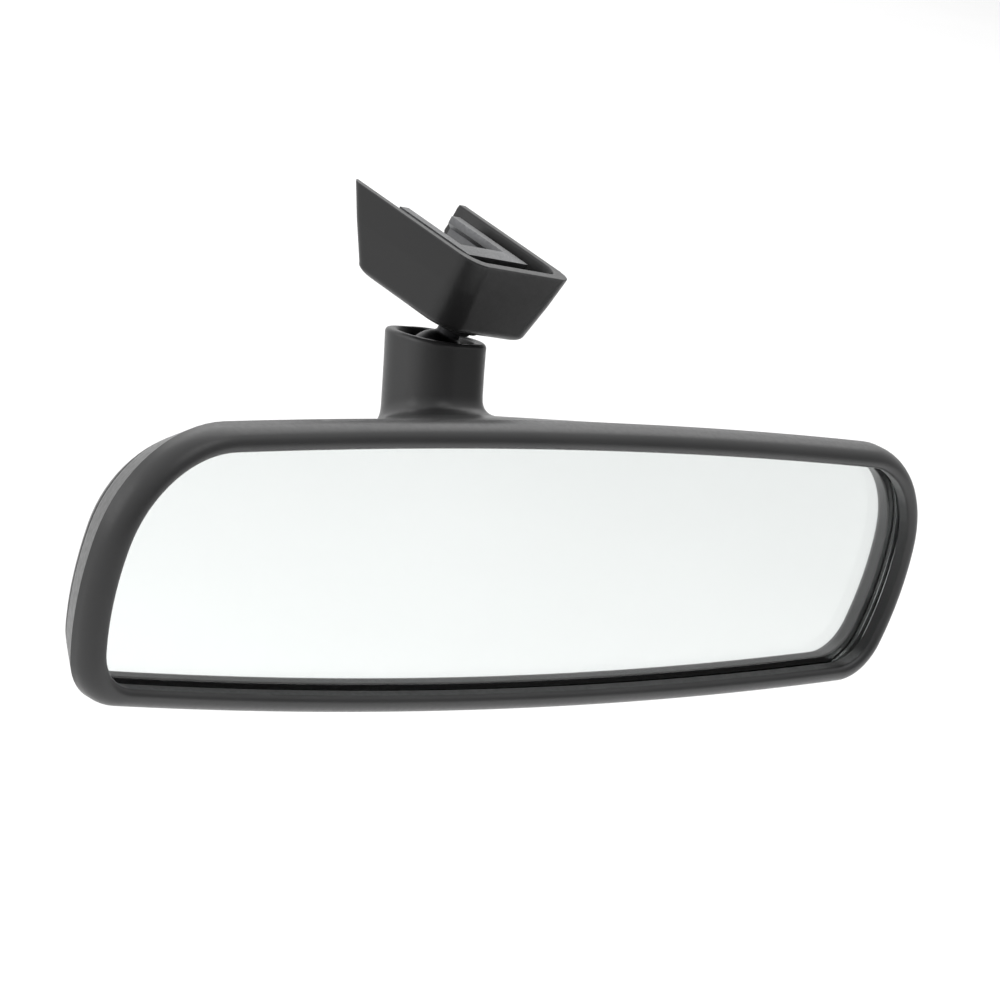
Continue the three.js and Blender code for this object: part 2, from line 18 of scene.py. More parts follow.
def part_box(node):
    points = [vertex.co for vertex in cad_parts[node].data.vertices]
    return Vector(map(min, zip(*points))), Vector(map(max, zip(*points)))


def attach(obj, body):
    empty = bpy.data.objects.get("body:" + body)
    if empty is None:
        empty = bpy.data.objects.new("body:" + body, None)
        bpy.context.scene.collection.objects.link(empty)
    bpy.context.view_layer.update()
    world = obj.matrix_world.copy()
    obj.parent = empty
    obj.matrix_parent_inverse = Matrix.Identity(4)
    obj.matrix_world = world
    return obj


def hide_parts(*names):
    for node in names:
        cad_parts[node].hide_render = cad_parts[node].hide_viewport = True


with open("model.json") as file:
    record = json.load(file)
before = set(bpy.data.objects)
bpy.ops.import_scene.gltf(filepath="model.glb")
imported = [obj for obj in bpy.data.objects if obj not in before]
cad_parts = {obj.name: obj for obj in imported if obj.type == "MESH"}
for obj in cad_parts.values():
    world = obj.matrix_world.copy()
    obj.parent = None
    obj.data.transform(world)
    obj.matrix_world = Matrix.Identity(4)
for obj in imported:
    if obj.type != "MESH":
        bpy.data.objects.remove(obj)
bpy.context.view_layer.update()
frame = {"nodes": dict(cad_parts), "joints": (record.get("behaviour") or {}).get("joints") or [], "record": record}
MM = 0.001
JOINTS = {joint["name"]: joint for joint in frame["joints"]}

# ---- driving dimensions, in millimetres ----------------------------------------------------
WINDOW = {"width": 240, "height": 54.3, "top_r": 2110, "side_r": 57, "bottom_r": 1610}
SIDE_MID_Z = -1.7
TOP_CORNER_R = 22
BOTTOM_CORNER_R = 10.5
BOTTOM_CORNER_GROWTH = 0.3
ARC_STEPS = (40, 16, 16, 12, 40)  # top, upper corner, side, lower corner, bottom
RIM = 4.6
BEAD_IN_R = 1.4
BEAD_OUT_DEPTH = 4.4
WINDOW_EASE = 0.06  # the lip's wall stands this far outside the window's outline
SLOPE_START = 4.6
SLOPE_LAG = 0.9  # the inner surface's side wall is straight for this much longer
WALL = 2.3
REAR_DEPTH = (50, 12)  # at the middle, at the ends
REAR_RUN = (15.7, 8)
BULGE_HALF_WIDTH = 38
SPINE_HALF = 95
PARTING_Y = 12
PARTING_GAP = 0.3
PARTING_ROUND = 0.35
TONGUE = {"out": 2.65, "inner": 3.6, "front": 9.2, "back": 16, "ease": 0.25}
GLASS = {"front": 2.4, "thick": 3.0, "overlap": 1.9, "ease": 0.35}
COATING = {"front": 5.7, "thick": 0.2, "overlap": 1.5, "ease": 0.02}
CARRIER_FRONT = 10.5
CARRIER_SCREW_AT = (80, 9)
BOSS_R = 3.4
SCREW_HOLE_R = 1.5

NECK_LEAN = math.radians(16.6)
MOUTH_TILT = math.radians(16.6 - 6.7)  # from square to the neck
NECK = {"half_x": 10.2, "half_y": 9.25, "corner": 7, "mouth": 5.2, "foot": -21.5}
NECK_EDGE_R = 1.0
NECK_FILLET = 4.0
TUBE_R = 9.6
BORE_R = 8.3
EAR = {"x": 14, "r": 3.3}
SLEEVE = {"inner": 6.8, "outer": 8.0, "top": 3.6, "foot": -21.2}

MOUNT_TURN = (math.radians(10.2), math.radians(5.6), math.radians(6.9))
STUD_Y = -7.7
BALL_R = 6.5
BOOT = {"half_x": 19.3, "front": -18.3, "back": 19.6, "wall": 2.2, "floor_extra": 1.9}
BOOT_STATIONS = (  # height, then how far the sides, closed end and open end come in, corner radius
    (0, 0, 0, 0, 5),
    (-7, 1, 0.4, 4, 5.4),
    (-14.9, 2.6, 1, 8.6, 6),
)
BOOT_FOOT = (-16.9, 6, 4, 12.6, 5)
SHORT_SIDE_BACK = 15.8  # the right wall ends here, before the left one
HOLLOW_OVERRUN = 4  # the boot's hollow runs out this far past the open end
BOOT_BOSS = {"top_r": 7, "foot_r": 5.4, "foot": -18.2, "recess_r": 3.9, "recess_top": -16.8}
STUD = {"stem_r": 2.6, "flange_r": 3.6, "flange_top": -17.1, "flange_foot": -18.1, "top": -5.4}
DUST_RING = {"inner": 2.9, "outer": 4.2, "top": -18.4, "foot": -19.2}
CHANNEL = {"half_x": 11.4, "front": -10.4, "back": 10.5, "floor": -12.2, "floor_top": -10.5, "top": -1}
RAIL = {"wall": 1.6, "lip": 3.2, "lip_thick": 1.6}
BRIDGE_LENGTH = 5
NUT = {"r": 4.6, "height": 3.2, "low": -9.2}
WASHER = {"r": 4.6, "height": 0.7, "low": -10.2}
CLIP = {"width": 9, "thick": 0.8, "front": -1, "back": 10}
CLIP_SCREW = {"y": 1.8, "head_r": 2.2, "head_h": 1.1, "shank_r": 1.0, "under": -9.1}
GAP = 0.3


# ---- places --------------------------------------------------------------------------------
def head_frame():
    """Turns millimetres in the head's frame to metres in the row frame."""
    low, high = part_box("mirror_glass")
    window = Vector(((low.x + high.x) / 2, low.y - GLASS["front"] * MM, (low.z + high.z) / 2))
    return Matrix.Translation(window) @ Matrix.Scale(MM, 4)


def mount_frame():
    """Turns millimetres in the mount's frame to metres in the row frame."""
    x, y, z = MOUNT_TURN
    turn = Matrix.Rotation(z, 4, "Z") @ Matrix.Rotation(x, 4, "X") @ Matrix.Rotation(y, 4, "Y")
    seat = Vector((0, CHANNEL["front"] + BRIDGE_LENGTH / 2, CHANNEL["top"]))
    return turn @ Matrix.Scale(MM, 4) @ Matrix.Translation(-seat)


HEAD = head_frame()
MOUNT = mount_frame()
BALL_POINT = Vector(JOINTS["ball_swivel"]["pos_m"])
BALL_IN_HEAD = HEAD.inverted() @ BALL_POINT
NECK_FRAME = HEAD @ Matrix.Translation(BALL_IN_HEAD) @ Matrix.Rotation(-NECK_LEAN, 4, "X")
BALL_IN_MOUNT = MOUNT.inverted() @ BALL_POINT


# ---- mesh helpers --------------------------------------------------------------------------
def new_object(name, verts, faces):
    mesh = bpy.data.meshes.new(name)
    mesh.from_pydata([tuple(v) for v in verts], [], faces)
    mesh.validate()
    made = bmesh.new()
    made.from_mesh(mesh)
    bmesh.ops.recalc_face_normals(made, faces=made.faces)
    made.to_mesh(mesh)
    made.free()
    obj = bpy.data.objects.new(name, mesh)
    bpy.context.scene.collection.objects.link(obj)
    return obj


def bridge(rings, closed=False):
    """Points and quads through rings that each have the same number of points."""
    n = len(rings[0])
    count = len(rings)
    faces = []
    for k in range(count if closed else count - 1):
        low, high = k * n, ((k + 1) % count) * n
        for i in range(n):
            j = (i + 1) % n
            faces.append((low + i, low + j, high + j, high + i))
    return np.vstack(rings), faces


def fan_cap(points, start, n):
    """Closes a ring with triangles about its middle."""
    middle = points[start:start + n].mean(axis=0)
    points = np.vstack([points, middle])
    faces = [(start + i, start + (i + 1) % n, len(points) - 1) for i in range(n)]
    return points, faces


def strip_cap(start, n):
    """Closes a ring that is alike left and right by a strip from its top to its foot."""
    faces = []
    for first in (0, n // 2):
        for i in range(n // 4):
            corners = [first + i, first + i + 1, first + n // 2 - i - 1, first + n // 2 - i]
            face = list(dict.fromkeys(start + c % n for c in corners))
            faces.append(tuple(face))
    return faces


def loft(name, rings):
    """A closed solid through rings, capped with a fan at each end."""
    n = len(rings[0])
    points, faces = bridge(rings)
    points, first = fan_cap(points, 0, n)
    points, last = fan_cap(points, (len(rings) - 1) * n, n)
    return new_object(name, points, faces + first + last)


def turned(name, profile, sides=64, closed=False):
    """A turned solid about +Z: profile points are (radius, height) and start and end on the axis,
    unless it is closed, as a ring's is."""
    angles = np.linspace(0, 2 * math.pi, sides, endpoint=False)
    rings = []
    for radius, height in profile:
        if radius > 0:
            ring = [radius * np.cos(angles), radius * np.sin(angles), np.full(sides, height)]
            rings.append(np.stack(ring, axis=1))
    points, faces = bridge(rings, closed)
    if not closed:
        low, high = profile[0][1], profile[-1][1]
        points = np.vstack([points, (0, 0, low), (0, 0, high)])
        last = (len(rings) - 1) * sides
        for i in range(sides):
            j = (i + 1) % sides
            faces.append((i, j, len(points) - 2))
            faces.append((last + i, last + j, len(points) - 1))
    return new_object(name, points, faces)


def rod(name, radius, low, high, sides=48):
    return turned(name, [(0, low), (radius, low), (radius, high), (0, high)], sides)


def box_solid(name, xs, ys, zs):
    corners = [(x, y, z) for x in xs for y in ys for z in zs]
    faces = [(0, 1, 3, 2), (4, 6, 7, 5), (0, 4, 5, 1), (2, 3, 7, 6), (0, 2, 6, 4), (1, 5, 7, 3)]
    return new_object(name, corners, faces)


def along_y(obj, x, z):
    """Lays an object that was modelled on +Z along +Y, at x and z."""
    obj.data.transform(Matrix.Translation((x, 0, z)) @ Matrix.Rotation(-math.pi / 2, 4, "X"))
    return obj


def at(obj, matrix):
    obj.data.transform(matrix)
    return obj


def on_stud(obj):
    """Moves an object modelled on +Z onto the stud's axis, in the mount's frame."""
    return at(obj, Matrix.Translation((0, STUD_Y, 0)))


def on_clip_screw(obj):
    """Moves an object modelled on +Z onto the clip screw's axis, in the mount's frame."""
    return at(obj, Matrix.Translation((0, CLIP_SCREW["y"], 0)))


def apply_modifiers(obj):
    graph = bpy.context.evaluated_depsgraph_get()
    mesh = bpy.data.meshes.new_from_object(obj.evaluated_get(graph))
    obj.modifiers.clear()
    obj.data = mesh
    return obj


def boolean(obj, operation, tools):
    """Joins, cuts or trims obj by each of the tools, which are used up."""
    for tool in tools:
        step = obj.modifiers.new(operation, "BOOLEAN")
        step.operation = operation
        step.solver = "MANIFOLD"
        step.object = tool
        apply_modifiers(obj)
        bpy.data.objects.remove(tool)
    return obj


def joined(obj, *tools):
    return boolean(obj, "UNION", tools)


def cut(obj, *tools):
    return boolean(obj, "DIFFERENCE", tools)


def bevelled(obj, width, segments=3, angle=35):
    edge = obj.modifiers.new("edge", "BEVEL")
    edge.width = width
    edge.segments = segments
    edge.limit_method = "ANGLE"
    edge.angle_limit = math.radians(angle)
    return apply_modifiers(obj)


def smooth_shaded(obj, angle=32):
    obj.data.shade_smooth()
    obj.data.set_sharp_from_angle(angle=math.radians(angle))
    return obj


# ---- window outline and housing surface ----------------------------------------------------
def circle_meeting(ca, ra, cb, rb):
    """The point further to the right where two circles meet."""
    between_centres = cb - ca
    length = np.linalg.norm(between_centres)
    unit = between_centres / length
    along = (ra * ra - rb * rb + length * length) / (2 * length)
    across = math.sqrt(ra * ra - along * along)
    normal = np.array((-unit[1], unit[0]))
    ends = [ca + along * unit + side * across * normal for side in (1, -1)]
    return max(ends, key=lambda end: end[0])


def outline_arcs(offset):
    """Centre, radius, first and last angle of the right half's five arcs, moved out by offset."""
    top_r, side_r, bottom_r = (WINDOW[k] + offset for k in ("top_r", "side_r", "bottom_r"))
    upper_r = TOP_CORNER_R + offset
    lower_r = BOTTOM_CORNER_R + BOTTOM_CORNER_GROWTH * offset
    top = np.array((0, WINDOW["height"] / 2 - WINDOW["top_r"]))
    side = np.array((WINDOW["width"] / 2 - WINDOW["side_r"], SIDE_MID_Z))
    bottom = np.array((0, WINDOW["bottom_r"] - WINDOW["height"] / 2))
    upper = circle_meeting(top, top_r - upper_r, side, side_r - upper_r)
    lower = circle_meeting(bottom, bottom_r - lower_r, side, side_r - lower_r)
    angle = [math.atan2(*(b - a)[::-1]) for a, b in
             ((top, upper), (side, upper), (side, lower), (bottom, lower))]
    return [
        (top, top_r, math.pi / 2, angle[0]),
        (upper, upper_r, angle[0], angle[1]),
        (side, side_r, angle[1], angle[2]),
        (lower, lower_r, angle[2], angle[3]),
        (bottom, bottom_r, angle[3], -math.pi / 2),
    ]


def outline(offset, depth):
    """The window's outline, moved out by offset, as a ring at that depth."""
    right = []
    for (centre, radius, first, last), steps in zip(outline_arcs(offset), ARC_STEPS):
        angles = first + (last - first) * np.arange(steps) / steps
        right.append(centre + radius * np.stack([np.cos(angles), np.sin(angles)], axis=1))
    right = np.vstack(right)
    right[0, 0] = 0
    foot = np.array([[0, -WINDOW["height"] / 2 - offset]])
    left = right[:0:-1] * (-1, 1)
    flat = np.vstack([right, foot, left])
    return np.stack([flat[:, 0], np.full(len(flat), depth), flat[:, 1]], axis=1)


def by_bulge(pair, x):
    middle, end = pair
    return end + (middle - end) * np.exp(-((x / BULGE_HALF_WIDTH) ** 2))


def slope_start(wall):
    return SLOPE_START + SLOPE_LAG * min(wall / WALL, 1)


def rear_ring(wall, share):
    """A ring of the rear slope, a wall's thickness inside the outer skin. share is how far it
    has come from the side wall to the spine, as one number or one for each point."""
    start = slope_start(wall)
    ring = outline(RIM - wall, start)
    spine = ring.copy()
    spine[:, 0] = np.clip(ring[:, 0], -SPINE_HALF, SPINE_HALF)
    spine[:, 2] = 0
    share = np.broadcast_to(share, len(ring))
    at_share = ring + (spine - ring) * share[:, None]
    inward = share * np.linalg.norm(ring - spine, axis=1) / by_bulge(REAR_RUN, at_share[:, 0])
    level = inward / (1 + inward ** 6) ** (1 / 6)
    depth = by_bulge(REAR_DEPTH, at_share[:, 0]) + SLOPE_START - wall - start
    at_share[:, 1] = start + depth * level
    return at_share


def share_at(wall, depth):
    """For each point of the outline, the share at which the rear slope reaches a depth."""
    low = np.zeros(sum(ARC_STEPS) * 2)
    high = np.ones(len(low)) * 0.9
    for _ in range(30):
        middle = (low + high) / 2
        short = rear_ring(wall, middle)[:, 1] < depth
        low = np.where(short, middle, low)
        high = np.where(short, high, middle)
    return (low + high) / 2


def bead_rings():
    """The rounded rim of the window, from its lip out to the side wall."""
    rings = [outline(WINDOW_EASE, GLASS["front"] - GAP)]
    for step in range(11):
        a = step / 10 * math.pi / 2
        offset = max(WINDOW_EASE, BEAD_IN_R * (1 - math.cos(a)))
        rings.append(outline(offset, -BEAD_IN_R * math.sin(a)))
    for step in range(1, 17):
        a = step / 16 * math.pi / 2
        offset = BEAD_IN_R + (RIM - BEAD_IN_R) * math.sin(a)
        rings.append(outline(offset, BEAD_OUT_DEPTH - BEAD_IN_R - BEAD_OUT_DEPTH * math.cos(a)))
    return rings


def front_frame():
    edge = PARTING_Y - PARTING_GAP / 2
    skin = share_at(0, edge - PARTING_ROUND)
    rings = bead_rings() + [rear_ring(0, skin * k / 10) for k in range(11)]
    for wall, depth in ((0.1, edge - 0.1), (PARTING_ROUND, edge), (WALL - 0.1, edge)):
        rings.append(rear_ring(wall, share_at(wall, depth)))
    inner = share_at(WALL, edge - 0.1)
    rings += [rear_ring(WALL, inner * (1 - k / 8)) for k in range(9)]
    rings.append(outline(RIM - WALL, GLASS["front"] - GAP))
    points, faces = bridge(rings, closed=True)
    return new_object("rim_housing", points, faces)


def rear_solid(name, wall, first_depth):
    """The rear slope from a depth back to the spine, as a closed solid."""
    first = share_at(wall, first_depth)
    last = 0.97
    steps = [0, 0.03, 0.07, 0.12, 0.18, 0.25, 0.32, 0.4, 0.48, 0.56, 0.64, 0.72, 0.8, 0.88, 0.95, 1]
    rings = [rear_ring(wall, first + (last - first) * step) for step in steps]
    if wall == 0:
        rounded = [rear_ring(PARTING_ROUND, share_at(PARTING_ROUND, first_depth - PARTING_ROUND)),
                   rear_ring(0.1, share_at(0.1, first_depth - PARTING_ROUND + 0.1))]
        rings = rounded + rings
    else:
        rings = [outline(RIM - wall, PARTING_Y - 3)] + rings
    n = len(rings[0])
    points, faces = bridge(rings)
    faces += strip_cap(0, n) + strip_cap((len(rings) - 1) * n, n)
    return new_object(name, points, faces)


def tongue():
    """The tongue of the rear cover that reaches into the front frame."""
    ease = TONGUE["ease"]
    stations = [
        (TONGUE["out"], PARTING_Y + 0.9), (TONGUE["out"], TONGUE["front"] + ease),
        (TONGUE["out"] + ease, TONGUE["front"]), (TONGUE["inner"] - ease, TONGUE["front"]),
        (TONGUE["inner"], TONGUE["front"] + ease), (TONGUE["inner"], PARTING_Y),
        (TONGUE["inner"], TONGUE["back"]), (WALL - 0.5, TONGUE["back"]),
        (WALL - 0.5, PARTING_Y + 0.9),
    ]
    rings = [rear_ring(wall, share_at(wall, depth)) for wall, depth in stations]
    points, faces = bridge(rings, closed=True)
    return new_object("tongue", points, faces)


# ---- neck ----------------------------------------------------------------------------------
def rounded_rect(half_x, half_y, corner, corner_steps=10, side_steps=6):
    """A ring in the plane z = 0."""
    ring = []
    for sx, sy, start in ((1, 1, 0), (-1, 1, 90), (-1, -1, 180), (1, -1, 270)):
        centre = np.array((sx * (half_x - corner), sy * (half_y - corner)))
        angles = np.radians(start + 90 * np.arange(corner_steps + 1) / corner_steps)
        arc = centre + corner * np.stack([np.cos(angles), np.sin(angles)], axis=1)
        if ring:
            ring += [ring[-1] + (arc[0] - ring[-1]) * k / side_steps for k in range(1, side_steps)]
        ring += list(arc)
    ring += [ring[-1] + (ring[0] - ring[-1]) * k / side_steps for k in range(1, side_steps)]
    flat = np.array(ring)
    return np.stack([flat[:, 0], flat[:, 1], np.zeros(len(flat))], axis=1)


def neck_ring(grow, height, tilt_share=0.0):
    """A ring round the neck. Near the mouth it tilts with the mouth's plane."""
    ring = rounded_rect(NECK["half_x"] + grow, NECK["half_y"] + grow, NECK["corner"] + grow)
    ring[:, 2] = height + tilt_share * math.tan(MOUTH_TILT) * ring[:, 1]
    return ring


def neck_upper_rings():
    """From the fillet's top up to the rounded edge of the mouth."""
    rings = [neck_ring(0, -2.0)]
    straight = NECK["mouth"] - NECK_EDGE_R
    for step in range(1, 9):
        share = step / 8
        rings.append(neck_ring(0.1 * share, -2.0 + (straight + 2.0) * share, share))
    for step in range(1, 7):
        a = step / 6 * math.pi / 2
        inset = NECK_EDGE_R * (1 - math.cos(a))
        rings.append(neck_ring(0.1 - inset, straight + NECK_EDGE_R * math.sin(a), 1))
    return rings


def neck_fillet_rings(housing):
    """Rings that turn from the neck's side onto the housing, whose surface is hit from above."""
    tree = BVHTree.FromObject(housing, bpy.context.evaluated_depsgraph_get())
    to_head = HEAD.inverted() @ NECK_FRAME
    down = to_head.to_3x3() @ Vector((0, 0, -1))
    middle = neck_ring(0, -2.0)
    outward = neck_ring(1, -2.0) - middle
    columns = []
    for point, out in zip(middle, outward):
        start = to_head @ Vector(point)
        side = (to_head.to_3x3() @ Vector((out[0], out[1], 0))).normalized()
        hit = tree.ray_cast(start, down.normalized())[0]
        top = hit - down.normalized() * NECK_FILLET
        foot, normal = tree.find_nearest(hit + side * NECK_FILLET)[:2]
        foot = foot - normal * 0.02
        curve = []
        for step in range(9):
            t = step / 8
            curve.append(top * (1 - t) ** 2 + hit * 2 * t * (1 - t) + foot * t * t)
        curve.append(foot - normal * 0.9)
        columns.append([to_head.inverted() @ p for p in curve])
    return [np.array([column[k] for column in columns]) for k in range(len(columns[0]))]


def neck_solid(housing):
    rings = neck_fillet_rings(housing)[::-1] + neck_upper_rings()
    return at(loft("neck", rings), HEAD.inverted() @ NECK_FRAME)


def on_neck(obj, x=0.0):
    return at(obj, HEAD.inverted() @ NECK_FRAME @ Matrix.Translation((x, 0, 0)))


def bore_tool():
    """The bore through the neck, with a rounded edge at the mouth."""
    angles = np.linspace(0, 2 * math.pi, 64, endpoint=False)
    circle = np.stack([np.cos(angles), np.sin(angles), np.zeros(64)], axis=1)
    rings = [circle * BORE_R + (0, 0, -40), circle * BORE_R + (0, 0, -1)]
    top = NECK["mouth"]
    slope = math.tan(MOUTH_TILT)
    for drop, grow in ((0.6, 0), (0.35, 0.08), (0.15, 0.25), (-0.02, 0.6), (-4, 0.6)):
        ring = circle * (BORE_R + grow)
        ring[:, 2] = top - drop + slope * ring[:, 1]
        rings.append(ring)
    return on_neck(loft("bore", rings))


def rear_cover():
    back = PARTING_Y + PARTING_GAP / 2 + PARTING_ROUND
    skin = rear_solid("rear_housing", 0, back)
    body = joined(skin, neck_solid(skin))
    cavity = rear_solid("cavity", WALL, PARTING_Y)
    x, z = CARRIER_SCREW_AT
    corners = [(sx * x, sz * z) for sx in (-1, 1) for sz in (-1, 1)]
    posts = [along_y(rod("post", BOSS_R, CARRIER_FRONT, 40), px, pz) for px, pz in corners]
    ears = [on_neck(rod("ear", EAR["r"], NECK["foot"], -4), side * EAR["x"]) for side in (-1, 1)]
    cut(cavity, *posts, *ears, on_neck(rod("tube", TUBE_R, NECK["foot"], 0)))
    cut(body, cavity)
    joined(body, tongue())
    holes = [along_y(rod("hole", SCREW_HOLE_R, 5, 14.5, 24), px, pz) for px, pz in corners]
    holes += [on_neck(rod("hole", SCREW_HOLE_R, -30, -13.5, 24), side * EAR["x"]) for side in (-1, 1)]
    return cut(body, bore_tool(), *holes)


# ---- glass ---------------------------------------------------------------------------------
def pane(name, size):
    """A plate with the window's outline and slightly eased edges."""
    ease = size["ease"]
    front, back = size["front"], size["front"] + size["thick"]
    out = size["overlap"]
    rings = [outline(out - ease, front), outline(out, front + ease)]
    rings += [outline(out, back - ease), outline(out - ease, back)]
    n = len(rings[0])
    points, faces = bridge(rings)
    faces += strip_cap(0, n) + strip_cap((len(rings) - 1) * n, n)
    return new_object(name, points, faces)


# ---- ball joint ----------------------------------------------------------------------------
def arc(radius, first, last, steps, centre=0.0):
    """Profile points on a ball, by angle from the top in degrees."""
    angles = np.radians(np.linspace(first, last, steps + 1))
    return [(radius * math.sin(a), centre + radius * math.cos(a)) for a in angles]


def socket_sleeve():
    inner, outer, top, foot = (SLEEVE[k] for k in ("inner", "outer", "top", "foot"))
    lip = math.degrees(math.acos(top / inner))
    profile = [(inner, foot + 0.2), (inner + 0.2, foot), (outer - 0.3, foot), (outer, foot + 0.3)]
    profile += [(outer, top - 0.5), (outer - 0.15, top - 0.15), (outer - 0.5, top)]
    profile += arc(inner, lip, 90, 12)
    return on_neck(turned("steel_sleeve", profile, 96, closed=True))


def ball_stud():
    start = math.degrees(math.asin(STUD["stem_r"] / BALL_R))
    centre = BALL_IN_MOUNT.z
    r, flange = STUD["stem_r"], STUD["flange_r"]
    profile = [(0, centre - BALL_R)] + arc(BALL_R, 178, start + 5, 40, centre)
    neck_top = STUD["flange_foot"]
    low = centre + BALL_R * math.cos(math.radians(start))
    profile += [(r + 0.12, low + 0.15), (r, low + 0.5), (r, neck_top)]
    profile += [(flange - 0.2, neck_top), (flange, neck_top + 0.2), (flange, STUD["flange_top"] - 0.2)]
    profile += [(flange - 0.2, STUD["flange_top"]), (r, STUD["flange_top"]), (r, -10)]
    pitch = 0.8
    z = -9.6
    while z + pitch < STUD["top"] - 0.4:
        profile += [(r, z), (r - 0.3, z + pitch * 0.5)]
        z += pitch
    profile += [(r, z), (r, STUD["top"] - 0.5), (r - 0.5, STUD["top"]), (0, STUD["top"])]
    return on_stud(turned("steel_ball_stud", profile, 72))


def dust_ring():
    inner, outer, top, foot = (DUST_RING[k] for k in ("inner", "outer", "top", "foot"))
    ease = 0.2
    profile = [(inner, foot + ease), (inner + ease, foot), (outer - ease, foot), (outer, foot + ease)]
    profile += [(outer, top - ease), (outer - ease, top), (inner + ease, top), (inner, top - ease)]
    return on_stud(turned("rubber_dust_ring", profile, 72, closed=True))


# ---- windscreen mount ----------------------------------------------------------------------
def boot_ring(half_x, front, back, corner, height):
    """Square at the open end, rounded at the closed end."""
    tip = 2.5
    ring = []
    corners = ((half_x - tip, back - tip, tip, 0), (-half_x + tip, back - tip, tip, 90),
               (-half_x + corner, front + corner, corner, 180),
               (half_x - corner, front + corner, corner, 270))
    for cx, cy, radius, start in corners:
        angles = np.radians(start + 90 * np.arange(13) / 12)
        ring.append(np.stack([cx + radius * np.cos(angles), cy + radius * np.sin(angles),
                              np.full(13, height)], axis=1))
    return np.vstack(ring)


def boot_solid(name, inset):
    inner = inset > 0
    half_x, front = BOOT["half_x"], BOOT["front"]
    back = BOOT["back"] + (HOLLOW_OVERRUN if inner else 0)
    rings = []
    for i, (height, side, closed_end, open_end, corner) in enumerate(BOOT_STATIONS):
        level = 3 if inner and i == 0 else height + (inset if i == 2 else 0)
        rings.append(boot_ring(half_x - inset - side, front + inset + closed_end, back - open_end,
                               corner, level))
    start = BOOT_STATIONS[-1]
    foot_height = BOOT_FOOT[0] + (inset + BOOT["floor_extra"] if inner else 0)
    for step in range(1, 7):
        a = step / 6 * math.pi / 2
        share = 1 - math.cos(a)
        side, closed_end, open_end, corner = (
            start[k] + (BOOT_FOOT[k] - start[k]) * share for k in (1, 2, 3, 4))
        level = start[0] + inset + (foot_height - start[0] - inset) * math.sin(a)
        rings.append(boot_ring(half_x - inset - side, front + inset + closed_end, back - open_end,
                               corner, level))
    return loft(name, rings)


def remeshed(obj, voxel, passes):
    """Rebuilds the surface evenly and softens its edges, as a mould does."""
    step = obj.modifiers.new("even", "REMESH")
    step.mode = "VOXEL"
    step.voxel_size = voxel
    soft = obj.modifiers.new("soft", "SMOOTH")
    soft.factor = 0.5
    soft.iterations = passes
    return apply_modifiers(obj)


def mount_cover():
    rise = BOOT_FOOT[0] + 1
    boss = turned("boss", [(0, BOOT_BOSS["foot"]), (BOOT_BOSS["foot_r"], BOOT_BOSS["foot"]),
                           (BOOT_BOSS["top_r"], rise), (0, rise)])
    on_stud(boss)
    reach = CHANNEL["half_x"] + GAP
    tools = [
        boot_solid("hollow", BOOT["wall"]),
        box_solid("open_end", (-reach, reach), (BOOT["back"] - 13, 40), (CHANNEL["floor"] - GAP, 10)),
        box_solid("short_side", (5, 40), (SHORT_SIDE_BACK, 40), (-40, 10)),
        on_stud(rod("hole", STUD["stem_r"] + GAP, -30, 10)),
        on_stud(rod("recess", BOOT_BOSS["recess_r"], -30, BOOT_BOSS["recess_top"])),
    ]
    body = cut(joined(boot_solid("mount_boot", 0), boss), *tools)
    return remeshed(body, 0.25, 5)


def prism(name, profile, first, last):
    """A straight solid along Y with an outline of (x, z) points."""
    rings = [np.array([(x, y, z) for x, z in profile]) for y in (first, last)]
    points, faces = bridge(rings)
    n = len(profile)
    faces += [tuple(range(n)), tuple(range(n, 2 * n))]
    return new_object(name, points, faces)


def mount_channel():
    half, floor, top = CHANNEL["half_x"], CHANNEL["floor"], CHANNEL["top"]
    inside = half - RAIL["wall"]
    lip = half - RAIL["lip"]
    under = top - RAIL["lip_thick"]
    right = [(inside - 0.2, floor), (half, floor + 2), (half, top), (lip, top), (lip, under),
             (inside, under - 1.2), (inside, CHANNEL["floor_top"])]
    left = [(-x, z) for x, z in reversed(right)]
    body = prism("zinc_channel", right + left, CHANNEL["front"], CHANNEL["back"])
    end = CHANNEL["front"] + BRIDGE_LENGTH
    wide = inside + 0.5
    along = (CHANNEL["front"] + 0.01, end)
    joined(body, box_solid("bridge", (-wide, wide), along, (top - 3, top - 0.01)))
    bevelled(body, 0.22)
    return cut(body, on_stud(rod("hole", STUD["stem_r"] + GAP, -30, -5)),
               on_clip_screw(rod("hole", CLIP_SCREW["shank_r"] + GAP, -30, 0, 24)))


def stud_nut():
    low, high = NUT["low"], NUT["low"] + NUT["height"]
    body = rod("zinc_nut", NUT["r"], low, high, 6)
    bevelled(body, 0.3)
    cut(body, rod("hole", STUD["stem_r"] + GAP, -30, 0))
    return on_stud(body)


def lock_washer():
    inner, outer = STUD["stem_r"] + GAP, WASHER["r"]
    low, high = WASHER["low"], WASHER["low"] + WASHER["height"]
    ease = 0.12
    profile = [(inner, low + ease), (inner + ease, low), (outer - ease, low), (outer, low + ease)]
    profile += [(outer, high - ease), (outer - ease, high), (inner + ease, high), (inner, high - ease)]
    body = turned("steel_lock_washer", profile, 64, closed=True)
    cut(body, box_solid("split", (inner - 1, outer + 1), (-0.35, 0.35), (low - 1, high + 1)))
    return on_stud(body)


def curve_points(start, middle, end, steps=12):
    """Points on a quadratic curve, without its first."""
    made = []
    for step in range(1, steps + 1):
        t = step / steps
        made.append(tuple((1 - t) ** 2 * a + 2 * t * (1 - t) * b + t * t * c
                          for a, b, c in zip(start, middle, end)))
    return made


